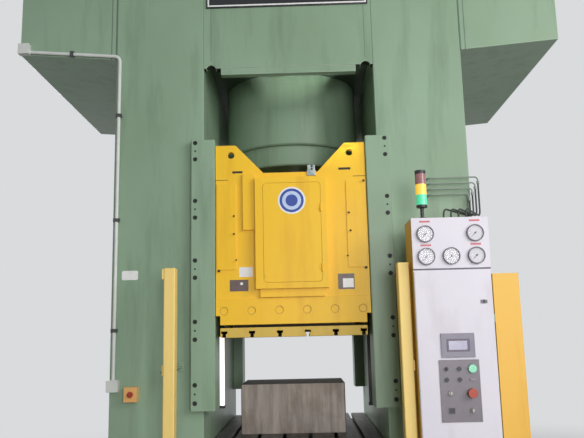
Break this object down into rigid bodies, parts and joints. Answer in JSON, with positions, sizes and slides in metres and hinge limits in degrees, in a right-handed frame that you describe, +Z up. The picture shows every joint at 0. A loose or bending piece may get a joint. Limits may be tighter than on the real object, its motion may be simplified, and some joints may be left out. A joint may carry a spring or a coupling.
{
  "type": "hydraulic stamping press",
  "caption": "Closed-frame stamping press: a yellow guided ram with T-slots hangs on a cylinder in a green welded frame above a slotted table, with a control cabinet.",
  "frame": {"origin": "on the floor, at the middle of the bed, straight below the ram and its cylinder", "axes": "+X to the right of someone who stands in front of the press, +Y to the rear, +Z up"},
  "size_m": [3.972, 2.7, 5.16],
  "materials": {
    "frame_green": "semi-gloss grey-green machine paint",
    "ram_yellow": "semi-gloss yellow machine paint",
    "cabinet_grey": "textured pale grey powder coat",
    "cabinet_yellow": "semi-gloss yellow machine paint",
    "sign_black": "satin black panel",
    "table_steel": "planed and oiled steel, mottled",
    "dark_steel": "black oxide",
    "rod_steel": "hard chromed and ground",
    "bronze": "machined bearing bronze",
    "tube_steel": "zinc plated tube",
    "conduit_white": "pale grey plastic conduit",
    "hose_black": "black rubber hose",
    "black_plastic": "black plastic",
    "grey_plastic": "grey plastic",
    "panel_grey": "grey anodised plate",
    "knob_red": "red plastic",
    "isolator_yellow": "orange-yellow plastic",
    "lens_green": "translucent green lens",
    "lens_amber": "translucent amber lens",
    "lens_red": "translucent red lens",
    "motor_blue": "grey-blue motor paint",
    "lamp_white": "milky lamp tube",
    "key_steel": "bare metal"
  },
  "bodies": {
    "frame": {"left_column": "frame_green", "right_column": "frame_green", "crown": "frame_green", "bed": "frame_green", "side_wings": "frame_green", "sign_board": "sign_black", "bolster_plate": "table_steel", "riser_block": "table_steel", "main_cylinder": "frame_green", "gland_ring": "frame_green", "front_gibs": "frame_green", "rear_gibs": "frame_green", "gib_screws": "dark_steel", "conduit": "conduit_white", "junction_boxes": "conduit_white", "isolator_box": "isolator_yellow", "curtain_posts": "ram_yellow", "stand_off_arms": "frame_green", "side_guard": "ram_yellow", "work_lamps": "lamp_white", "cabinet": "cabinet_yellow", "mounting_plate": "tube_steel", "gauge_box": "cabinet_grey", "gauge_cases": "black_plastic", "signal_base": "black_plastic", "signal_green": "lens_green", "signal_amber": "lens_amber", "signal_red": "lens_red", "pump_motor": "motor_blue", "valve_block": "dark_steel", "feed_pipes": "tube_steel", "gauge_lines": "tube_steel", "gauge_hoses": "hose_black"},
    "ram": {"ram_body": "ram_yellow", "ram_front_plate": "ram_yellow", "ram_rear_plate": "ram_yellow", "tslot_plate": "ram_yellow", "guide_strips": "bronze", "piston_rod": "rod_steel", "hatch_frame": "ram_yellow", "side_covers": "ram_yellow"},
    "hatch": {"hatch_door": "ram_yellow"},
    "cabinet_door": {"cabinet_door": "cabinet_grey", "screen_unit": "grey_plastic", "operator_panel": "panel_grey"},
    "door_lock": {"door_lock": "black_plastic"},
    "start_button": {"start_button": "lens_green"},
    "emergency_stop": {"emergency_stop": "knob_red"},
    "push_button_1": {"push_button_1": "black_plastic"},
    "push_button_2": {"push_button_2": "black_plastic"},
    "push_button_3": {"push_button_3": "black_plastic"},
    "selector_1": {"selector_1": "black_plastic"},
    "selector_2": {"selector_2": "key_steel"},
    "key_switch": {"key_switch": "key_steel"},
    "isolator_knob": {"isolator_knob": "knob_red"},
    "needle_1": {"needle_1": "black_plastic"},
    "needle_2": {"needle_2": "black_plastic"},
    "needle_3": {"needle_3": "black_plastic"},
    "needle_4": {"needle_4": "black_plastic"},
    "needle_5": {"needle_5": "black_plastic"}
  },
  "joints": [
    {"name": "ram_slide", "type": "slide", "parent": "frame", "child": "ram", "axis": [0, 0, -1], "range_m": [0, 0.35]},
    {"name": "hatch_hinge", "type": "hinge", "parent": "ram", "child": "hatch", "pos_m": [0.206, -1.1563, 2.3175], "axis": [0, 0, 1], "range_deg": [0, 120]},
    {"name": "cabinet_hinge", "type": "hinge", "parent": "frame", "child": "cabinet_door", "pos_m": [0.7675, -1.5405, 1.05], "axis": [0, 0, -1], "range_deg": [0, 95]},
    {"name": "lock_turn", "type": "hinge", "parent": "cabinet_door", "child": "door_lock", "pos_m": [1.18, -1.55, 1.791], "axis": [0, 1, 0], "range_deg": [0, 90]},
    {"name": "start_button_press", "type": "slide", "parent": "cabinet_door", "child": "start_button", "axis": [0, 1, 0], "range_m": [0, 0.004], "stiffness_N_per_m": 300},
    {"name": "push_button_1_press", "type": "slide", "parent": "cabinet_door", "child": "push_button_1", "axis": [0, 1, 0], "range_m": [0, 0.004], "stiffness_N_per_m": 300},
    {"name": "push_button_2_press", "type": "slide", "parent": "cabinet_door", "child": "push_button_2", "axis": [0, 1, 0], "range_m": [0, 0.004], "stiffness_N_per_m": 300},
    {"name": "push_button_3_press", "type": "slide", "parent": "cabinet_door", "child": "push_button_3", "axis": [0, 1, 0], "range_m": [0, 0.004], "stiffness_N_per_m": 300},
    {"name": "emergency_stop_press", "type": "slide", "parent": "cabinet_door", "child": "emergency_stop", "axis": [0, 1, 0], "range_m": [0, 0.004]},
    {"name": "selector_1_turn", "type": "hinge", "parent": "cabinet_door", "child": "selector_1", "pos_m": [0.925, -1.559, 1.391], "axis": [0, 1, 0], "range_deg": [-45, 45]},
    {"name": "selector_2_turn", "type": "hinge", "parent": "cabinet_door", "child": "selector_2", "pos_m": [1.06696, -1.559, 1.147], "axis": [0, 1, 0], "range_deg": [-45, 45]},
    {"name": "key_switch_turn", "type": "hinge", "parent": "cabinet_door", "child": "key_switch", "pos_m": [0.9406, -1.559, 1.248], "axis": [0, 1, 0], "range_deg": [0, 90]},
    {"name": "isolator_turn", "type": "hinge", "parent": "frame", "child": "isolator_knob", "pos_m": [-1.107, -1.115, 1.245], "axis": [0, 1, 0], "range_deg": [0, 90]},
    {"name": "needle_1_turn", "type": "hinge", "parent": "frame", "child": "needle_1", "pos_m": [0.842, -1.564, 2.217], "axis": [0, 1, 0], "range_deg": [0, 270]},
    {"name": "needle_2_turn", "type": "hinge", "parent": "frame", "child": "needle_2", "pos_m": [1.152, -1.564, 2.217], "axis": [0, 1, 0], "range_deg": [0, 270]},
    {"name": "needle_3_turn", "type": "hinge", "parent": "frame", "child": "needle_3", "pos_m": [0.842, -1.564, 2.076], "axis": [0, 1, 0], "range_deg": [0, 270]},
    {"name": "needle_4_turn", "type": "hinge", "parent": "frame", "child": "needle_4", "pos_m": [0.997, -1.564, 2.076], "axis": [0, 1, 0], "range_deg": [0, 270]},
    {"name": "needle_5_turn", "type": "hinge", "parent": "frame", "child": "needle_5", "pos_m": [1.152, -1.564, 2.076], "axis": [0, 1, 0], "range_deg": [0, 270]}
  ]
}
